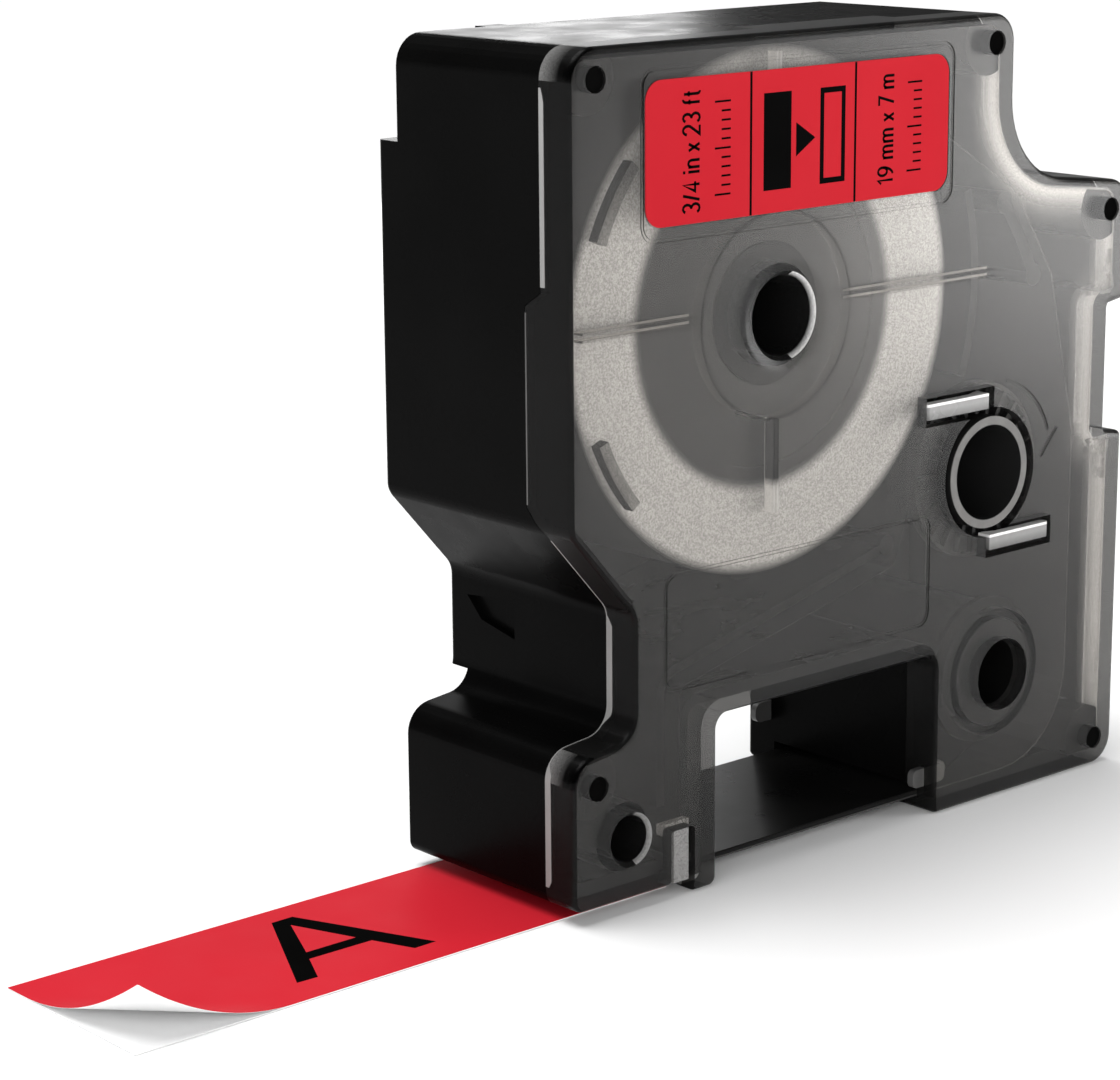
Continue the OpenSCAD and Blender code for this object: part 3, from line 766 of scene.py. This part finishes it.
def rib_lines():
    """The tips of the double ribs behind the cover's plate, pale with painted light."""
    bm = bmesh.new()
    spans = [(x, (z, z + TIP_W)) for z in LEVEL_TIPS_Z for x in LEVEL_TIPS_X]
    spans += [(UPRIGHT_TIP_X, z) for z in UPRIGHT_TIP_Z]
    for (x0, x1), (z0, z1) in spans:
        corners = [at(x, y, z) for y in TIP_Y for x, z in ((x0, z0), (x1, z0), (x1, z1), (x0, z1))]
        v = [bm.verts.new(c) for c in corners]
        bm.faces.new(v[0:4])
        bm.faces.new(v[7:3:-1])
        for i in range(4):
            bm.faces.new((v[i], v[(i + 1) % 4], v[4 + (i + 1) % 4], v[4 + i]))
    bmesh.ops.recalc_face_normals(bm, faces=bm.faces)
    mesh = bpy.data.meshes.new("rib_tips")
    bm.to_mesh(mesh)
    bm.free()
    obj = new_object("rib_tips", mesh)
    obj.data.materials.append(RIB_TIP_PAINTED_LIGHT)
    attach(obj, "case")


rib_lines()


def painted_glow_material():
    """Painted light caught in the rim, from no lamp: a grainy white haze whose strength is stored with
    the mesh.
    """
    mat, nt, body, out = new_material("painted_rim_light")
    clear = nt.nodes.new("ShaderNodeBsdfTransparent")
    mix = nt.nodes.new("ShaderNodeMixShader")
    level = nt.nodes.new("ShaderNodeAttribute")
    level.attribute_name = "glow"
    grain = spread(nt, noise(nt, LAYER_GRAIN, 1), 0.8, 1.15)
    nt.links.new(math_node(nt, "MULTIPLY", level.outputs["Fac"], grain), mix.inputs["Fac"])
    tone = blend_colours(nt, noise(nt, GLOW_DRIFT, 2), warm(0.82), warm(0.9))
    nt.links.new(tone, body.inputs["Base Color"])
    body.inputs["Roughness"].default_value = 0.6
    body.inputs["Specular IOR Level"].default_value = 0.0
    nt.links.new(clear.outputs[0], mix.inputs[1])
    nt.links.new(body.outputs[0], mix.inputs[2])
    nt.links.new(mix.outputs[0], out.inputs["Surface"])
    return mat


# The band of painted light: just behind the plate, on the right part of the outline, between two heights.
# Its profile is how strong it is at each distance inwards from the outline.
BAND_Y = PLATE_BACK + 0.02
BAND_LEFT = 54.0
BAND_Z = (5.0, 74.0)
BAND_PROFILE = ((0.8, 0), (1.15, 0.85), (1.5, 0.95), (2.0, 0.7), (2.8, 0.35), (3.8, 0.12), (5.0, 0))


def band_strength(z):
    """Strong at the shoulder, weaker below it and nothing at both ends."""
    return 0.9 * ramp(z, 74, 70) * ramp(z, 4, 14) * (0.6 + 0.4 * ramp(z, 45, 60))


def painted_rim_light():
    """A soft bright band of painted light behind the plate, along the right side of the body."""
    run = outline_run(0.8, lambda p: p.x >= BAND_LEFT and BAND_Z[0] <= p.y <= BAND_Z[1])
    verts, faces, levels = [], [], []
    n = len(BAND_PROFILE)
    for p, out in run:
        for d, level in BAND_PROFILE:
            v = p - out * d
            verts.append(at(v.x, BAND_Y, v.y))
            levels.append(level * band_strength(p.y))
    for i in range(len(run) - 1):
        for k in range(n - 1):
            a = i * n + k
            faces.append((a, a + 1, a + n + 1, a + n))
    obj = mesh_from("painted_rim_light", verts, faces)
    attribute = obj.data.attributes.new("glow", "FLOAT", "POINT")
    for item, level in zip(attribute.data, levels):
        item.value = level
    obj.data.materials.append(painted_glow_material())
    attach(obj, "case")


painted_rim_light()


# ---------------------------------------------------------------- printed tail

liner_lo, liner_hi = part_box("tail_liner")
TAIL_X0, TAPE_Y0, LINER_TOP = local(Vector((liner_lo.x, liner_lo.y, liner_hi.z)))
TAIL_X1, TAPE_Y1, _ = local(liner_hi)
# Heights above the backing between which the film's white back and its red face lie
FILM_BACK = (0.002, 0.026)
FILM_FACE = (0.03, 0.08)
# The line that the film lifts from, and the radius that it rolls up with
CURL_START = (Vector((TAIL_X0, 19.24)), Vector((-28.56, TAPE_Y0)))
CURL_R = 11.42
# The mesh's rows across the curl and its columns along them. The last row stops just short of the tip,
# and the last row of the flat part ends at this x on the near edge.
ROWS = 26
COLUMNS = 14
LAST_ROW = 0.995
FLAT_ROW_X = -8


def curled(x, y, lift):
    """A point of the film lying at x, y, after its near outer corner has curled up."""
    along = (CURL_START[1] - CURL_START[0]).normalized()
    inward = Vector((-along.y, along.x))
    out = -(flat((x, y)) - CURL_START[0]).dot(inward)
    if out <= 0:
        return at(x, y, LINER_TOP + lift)
    turn = out / CURL_R
    foot = flat((x, y)) + inward * (out - (CURL_R - lift) * math.sin(turn))
    return at(foot.x, foot.y, LINER_TOP + CURL_R - (CURL_R - lift) * math.cos(turn))


def film_layer(name, heights, slot_name):
    """One closed layer of the tail's film, in rows that run along the curl."""
    corner = Vector((TAIL_X0, TAPE_Y0))
    lines = [(Vector((TAIL_X1, TAPE_Y1)), Vector((TAIL_X1, TAPE_Y0))),
             (Vector((TAIL_X0, TAPE_Y1)), Vector((FLAT_ROW_X, TAPE_Y0)))]
    for i in range(ROWS + 1):
        k = LAST_ROW * i / ROWS
        lines.append((CURL_START[0].lerp(corner, k), CURL_START[1].lerp(corner, k)))
    sides = [[curled(*a.lerp(b, j / COLUMNS), lift) for a, b in lines for j in range(COLUMNS + 1)]
             for lift in heights]
    wide = COLUMNS + 1
    last = len(lines) - 1
    count = len(lines) * wide
    rim = ([j for j in range(COLUMNS)] +
           [(i + 1) * wide - 1 for i in range(last)] +
           [count - 1 - j for j in range(COLUMNS)] +
           [(last - i) * wide for i in range(last)])
    faces = []
    for i in range(last):
        for j in range(COLUMNS):
            a = i * wide + j
            quad = (a, a + 1, a + wide + 1, a + wide)
            faces.append(quad)
            faces.append(tuple(count + v for v in reversed(quad)))
    faces += [(a, count + a, count + b, b) for a, b in zip(rim, rim[1:] + rim[:1])]
    layer = clean(mesh_from(name, sides[0] + sides[1], faces), merge=FINE_MERGE, angle=0)
    smooth(layer, 40, weighted=False)
    dress(layer, slot_name)
    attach(layer, "tape")
    return layer


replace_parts(film_layer("tail_film_top", FILM_FACE, "label_red"), "tail_film")
film_layer("tail_film_back", FILM_BACK, "liner_white")


# ---------------------------------------------------------------- print on the tape and the label

# Thickness of the ink, and how far it reaches into what it is printed on
INK_T = 0.006
INK_SUNK = 0.001


def ink_plate(name, loops, place, body):
    """Thin flat shapes of ink. Each loop is an outline, and place puts (u, v, lift) on the object."""
    bm = bmesh.new()
    for loop in loops:
        n = len(loop)
        low = [bm.verts.new(place(u, v, 0)) for u, v in loop]
        high = [bm.verts.new(place(u, v, INK_T)) for u, v in loop]
        bm.faces.new(high)
        bm.faces.new(low[::-1])
        for i in range(n):
            bm.faces.new((low[i], low[(i + 1) % n], high[(i + 1) % n], high[i]))
    bmesh.ops.recalc_face_normals(bm, faces=bm.faces)
    mesh = bpy.data.meshes.new(name)
    bm.to_mesh(mesh)
    bm.free()
    obj = new_object(name, mesh)
    obj.data.materials.append(INK)
    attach(obj, body)


# The sample letter: x and y of three shapes that share their edges
LETTER = [
    [(-18.92, 19.10), (-16.63, 19.13), (-11.04, 5.85), (-13.40, 5.82), (-14.98, 9.81), (-15.58, 11.30),
     (-17.96, 17.57)],
    [(-18.92, 19.10), (-17.96, 17.57), (-20.91, 11.33), (-21.65, 9.91), (-23.60, 6.09), (-25.71, 6.20)],
    [(-20.91, 11.33), (-15.58, 11.30), (-14.98, 9.81), (-21.65, 9.91)],
]
FILM_TOP = LINER_TOP + FILM_FACE[1]
ink_plate("sample_letter", LETTER, lambda u, v, lift: at(u, v, FILM_TOP - INK_SUNK + lift), "tape")


def bar(u0, v0, u1, v1):
    """A filled rectangle."""
    return [(u0, v0), (u1, v0), (u1, v1), (u0, v1)]


def arc(cx, cy, rx, ry, a0, a1, steps=10):
    """Points of an arc from angle a0 to a1, in degrees."""
    turns = [math.radians(a0 + (a1 - a0) * i / steps) for i in range(steps + 1)]
    return [(cx + rx * math.cos(turn), cy + ry * math.sin(turn)) for turn in turns]


# Strokes of the few plain characters in use: width, then lines in a cell one unit high
GLYPHS = {
    "1": (0.42, [[(0.06, 0.78), (0.26, 1), (0.26, 0)]]),
    "2": (0.62, [arc(0.28, 0.72, 0.25, 0.28, 170, -35) + [(0.03, 0), (0.55, 0)]]),
    "3": (0.62, [arc(0.27, 0.75, 0.23, 0.25, 155, -90, 8) + arc(0.27, 0.25, 0.26, 0.25, 90, -155, 8)]),
    "4": (0.66, [[(0.6, 0.27), (0.03, 0.27), (0.43, 1), (0.43, 0)]]),
    "7": (0.6, [[(0.02, 1), (0.54, 1), (0.18, 0)]]),
    "9": (0.62, [arc(0.28, 0.7, 0.25, 0.3, 0, 360, 16), arc(0.02, 0.7, 0.51, 0.7, 0, -80, 8)]),
    "/": (0.4, [[(0.02, 0), (0.32, 1)]]),
    "i": (0.2, [[(0.08, 0), (0.08, 0.68)], [(0.08, 0.86), (0.08, 1)]]),
    "n": (0.56, [[(0.06, 0), (0.06, 0.68)], arc(0.26, 0.46, 0.2, 0.22, 180, 0, 8) + [(0.46, 0)]]),
    "m": (0.9, [[(0.06, 0), (0.06, 0.68)], arc(0.24, 0.48, 0.18, 0.2, 180, 0, 8) + [(0.42, 0)],
               arc(0.6, 0.48, 0.18, 0.2, 180, 0, 8) + [(0.78, 0)]]),
    "f": (0.36, [[(0.12, 0)] + arc(0.28, 0.82, 0.16, 0.18, 180, 80, 6), [(0, 0.62), (0.28, 0.62)]]),
    "t": (0.38, [[(0.14, 0.95)] + arc(0.28, 0.16, 0.14, 0.16, 180, 280, 6), [(0, 0.66), (0.3, 0.66)]]),
    "x": (0.5, [[(0.02, 0), (0.42, 0.66)], [(0.02, 0.66), (0.42, 0)]]),
    " ": (0.22, []),
}

# How narrow the characters are, and the space between them, as shares of their height
SQUEEZE = 0.76
LETTER_GAP = 0.1
# Keeps the outer corner of a sharp turn from running out to a long point
JOINT_LIMIT = 0.35


def stroke(points, width):
    """The outline of a line of even width with square joints."""
    sides = ([], [])
    n = len(points)
    for i, p in enumerate(points):
        p = Vector(p)
        before = (p - Vector(points[i - 1])).normalized() if i else None
        after = (Vector(points[i + 1]) - p).normalized() if i < n - 1 else None
        before, after = before or after, after or before
        m, k = Vector((-before.y, before.x)), Vector((-after.y, after.x))
        reach = (m + k) * (width / 2 / max(JOINT_LIMIT, 1 + m.dot(k)))
        sides[0].append(p + reach)
        sides[1].append(p - reach)
    return [((a.x, a.y), (b.x, b.y), (c.x, c.y), (d.x, d.y))
            for a, b, c, d in zip(sides[0], sides[0][1:], sides[1][1:], sides[1])]


def line_of(text, x, z, high, weight):
    """Shapes of a line that reads upwards on the label; x is its right side and z its start."""
    shapes = []
    for character in text:
        advance, lines = GLYPHS[character]
        for points in lines:
            for shape in stroke([(u * high * SQUEEZE, v * high) for u, v in points], weight * high):
                shapes.append([(x - v, z + u) for u, v in shape])
        z += (advance + LETTER_GAP) * high * SQUEEZE
    return shapes, z


label_lo, label_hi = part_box("size_label")
LABEL_Z = (local(label_lo)[2], local(label_hi)[2])
LABEL_Y = local(label_lo)[1]
# The two lines of text with their right sides, and the characters' height and weight
SIZES = (("3/4 in x 23 ft", 14.7), ("19 mm x 7 m", 38.9))
TEXT_HIGH = 1.95
TEXT_WEIGHT = 0.13
# The two upright rules: their middles, half their width and their gap to the label's ends
RULES_X = (20.85, 33.9)
RULE_HALF = 0.14
RULE_GAP = 0.02
# The tick scales: their right sides, and their ticks, of which every fifth is long
SCALES_X = (18.4, 42.6)
TICKS = 11
TICK_PITCH = 0.8
TICK_HALF = 0.09
LONG_TICK = 1.9
SHORT_TICK = 1.1
# The block, the triangle and the outlined block, which share their heights or their middle
MARKS_Z = (62.7, 71.2)
MARKS_MIDDLE = 66.9
BLOCK_X = (22.4, 25.8)
TRIANGLE_X = (26.4, 28.8)
TRIANGLE_HALF = 1.5
OUTLINED_X = (29.4, 32.6)
OUTLINED_LINE = 0.5


def centred(text, x):
    """A line of text in the middle of the label's height."""
    _, end = line_of(text, x, 0, TEXT_HIGH, TEXT_WEIGHT)
    return line_of(text, x, (LABEL_Z[0] + LABEL_Z[1] - end) / 2, TEXT_HIGH, TEXT_WEIGHT)[0]


def tick_scale(x):
    """Ticks up to x, evenly spaced about the marks' middle."""
    ticks = []
    for k in range(TICKS):
        long = LONG_TICK if k % 5 == 0 else SHORT_TICK
        z = MARKS_MIDDLE + TICK_PITCH * (k - TICKS // 2)
        ticks.append(bar(x - long, z - TICK_HALF, x, z + TICK_HALF))
    return ticks


def outlined_block(x0, x1, z0, z1, line):
    return [bar(x0, z0, x1, z0 + line), bar(x0, z1 - line, x1, z1),
            bar(x0, z0 + line, x0 + line, z1 - line), bar(x1 - line, z0 + line, x1, z1 - line)]


def label_marks():
    marks = [bar(x - RULE_HALF, LABEL_Z[0] + RULE_GAP, x + RULE_HALF, LABEL_Z[1] - RULE_GAP)
             for x in RULES_X]
    for text, x in SIZES:
        marks += centred(text, x)
    for x in SCALES_X:
        marks += tick_scale(x)
    marks.append(bar(BLOCK_X[0], MARKS_Z[0], BLOCK_X[1], MARKS_Z[1]))
    marks.append([(TRIANGLE_X[0], MARKS_MIDDLE + TRIANGLE_HALF),
                  (TRIANGLE_X[0], MARKS_MIDDLE - TRIANGLE_HALF), (TRIANGLE_X[1], MARKS_MIDDLE)])
    return marks + outlined_block(*OUTLINED_X, *MARKS_Z, OUTLINED_LINE)


ink_plate("label_print", label_marks(), lambda u, v, lift: at(u, LABEL_Y + INK_SUNK - lift, v), "case")


# ---------------------------------------------------------------- stage

# Half the floor's side and its drop below the object, in metres
FLOOR_REACH = 20
FLOOR_DROP = 0.00005
# The camera: turn, dip and roll in degrees, place in the object's millimetres, and lens
CAMERA_ANGLES = (41.11, 13.70, -0.476)
CAMERA_PLACE = (-171.461, -194.750, 98.374)
CAMERA_LENS = 101.234


def add_floor():
    """A plain white floor."""
    corners = [(x * FLOOR_REACH, y * FLOOR_REACH, 0) for x, y in ((-1, -1), (1, -1), (1, 1), (-1, 1))]
    floor = mesh_from("floor", corners, [(0, 1, 2, 3)])
    floor.location.z = -FLOOR_DROP
    mat, nt, shader, _ = new_material("floor_white")
    nt.links.new(blend_colours(nt, noise(nt, 3, 2), (0.945, 0.945, 0.945), (0.955, 0.955, 0.955)),
                 shader.inputs["Base Color"])
    shader.inputs["Roughness"].default_value = 0.9
    shader.inputs["Specular IOR Level"].default_value = 0.0
    bump(nt, shader, noise(nt, FLOOR_GRAIN, 2), 0.1, RIDGE_DEPTH)
    floor.data.materials.append(mat)


def add_card(name, location, target, size, radiance, glossy=True):
    """A soft light, stated by how bright its face is. Sizes and places are in metres."""
    light = bpy.data.lights.new(name, "AREA")
    light.shape = "RECTANGLE"
    light.size, light.size_y = size
    light.energy = radiance * math.pi * size[0] * size[1]
    obj = new_object(name, light)
    obj.location = location
    obj.rotation_euler = (Vector(target) - Vector(location)).to_track_quat("-Z", "Y").to_euler()
    obj.visible_camera = False
    obj.visible_glossy = glossy


def add_world(strength):
    world = bpy.data.worlds.new("studio")
    scene.world = world
    world.use_nodes = True
    background = world.node_tree.nodes["Background"]
    background.inputs["Color"].default_value = (1, 1, 1, 1)
    background.inputs["Strength"].default_value = strength


def add_camera():
    """The camera, at the angle that the object is pictured from."""
    yaw, pitch, roll = (math.radians(angle) for angle in CAMERA_ANGLES)
    forward = Vector((math.sin(yaw) * math.cos(pitch), math.cos(yaw) * math.cos(pitch), -math.sin(pitch)))
    level = Vector((math.cos(yaw), -math.sin(yaw), 0))
    upright = level.cross(forward)
    right = math.cos(roll) * level + math.sin(roll) * upright
    up = -math.sin(roll) * level + math.cos(roll) * upright
    place = at(*CAMERA_PLACE)
    data = bpy.data.cameras.new("camera")
    data.lens = CAMERA_LENS
    data.sensor_width = 36
    data.clip_start = 0.01
    camera = new_object("camera", data)
    camera.matrix_world = Matrix((
        (right.x, up.x, -forward.x, place.x),
        (right.y, up.y, -forward.y, place.y),
        (right.z, up.z, -forward.z, place.z),
        (0, 0, 0, 1)))
    scene.camera = camera


def add_sun(direction, energy, angle_deg):
    """Light from above with a soft edge to its shadows."""
    light = bpy.data.lights.new("sun", "SUN")
    light.energy = energy
    light.angle = math.radians(angle_deg)
    obj = new_object("sun", light)
    obj.rotation_euler = Vector(direction).to_track_quat("-Z", "Y").to_euler()


scene.view_settings.view_transform = "Standard"
add_floor()
add_world(0.1)
add_sun((0.16, -0.28, -1.0), 3.2, 50)
add_card("front_fill", (-0.3, -0.6, 0.35), (0, 0, 0.04), (0.5, 0.4), 1.7, glossy=False)
add_card("left_fill", (-0.5, -0.38, 0.15), (0, 0, 0.04), (0.4, 0.3), 4.5, glossy=False)
add_card("right_sheen", (0.265, -0.165, 0.06), (0.05, -0.013, 0.055), (0.1, 0.12), 13)
add_card("back_left", (0.271, 0.39, 0.11), (0, 0, 0.08), (0.163, 0.14), 3.8)
add_camera()
